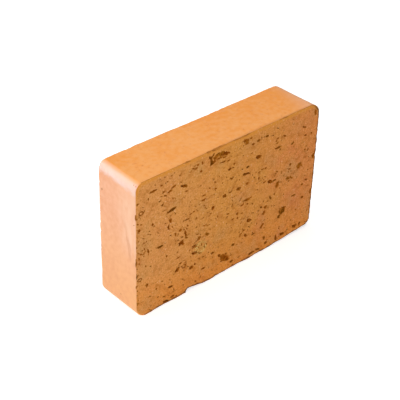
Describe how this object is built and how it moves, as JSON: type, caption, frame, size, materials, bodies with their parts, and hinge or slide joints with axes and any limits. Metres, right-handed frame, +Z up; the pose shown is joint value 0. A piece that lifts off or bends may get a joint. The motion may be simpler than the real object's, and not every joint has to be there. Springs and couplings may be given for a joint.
{
  "type": "refractory brick",
  "caption": "Rectangular fired-clay firebrick with rounded die corners and torn wire-cut faces, for lining furnaces, kilns and hearths.",
  "frame": {"origin": "middle of the lower stretcher face, on which the brick stands", "axes": "+X along the length, from the left header to the right one; +Y from the front cut face, which the picture shows, to the back cut face; +Z up, from the lower stretcher to the upper one"},
  "size_m": [0.23, 0.051, 0.146],
  "materials": {
    "fired_clay": "matte, open-pored"
  },
  "bodies": {
    "root": {"brick": "fired_clay"}
  },
  "joints": []
}
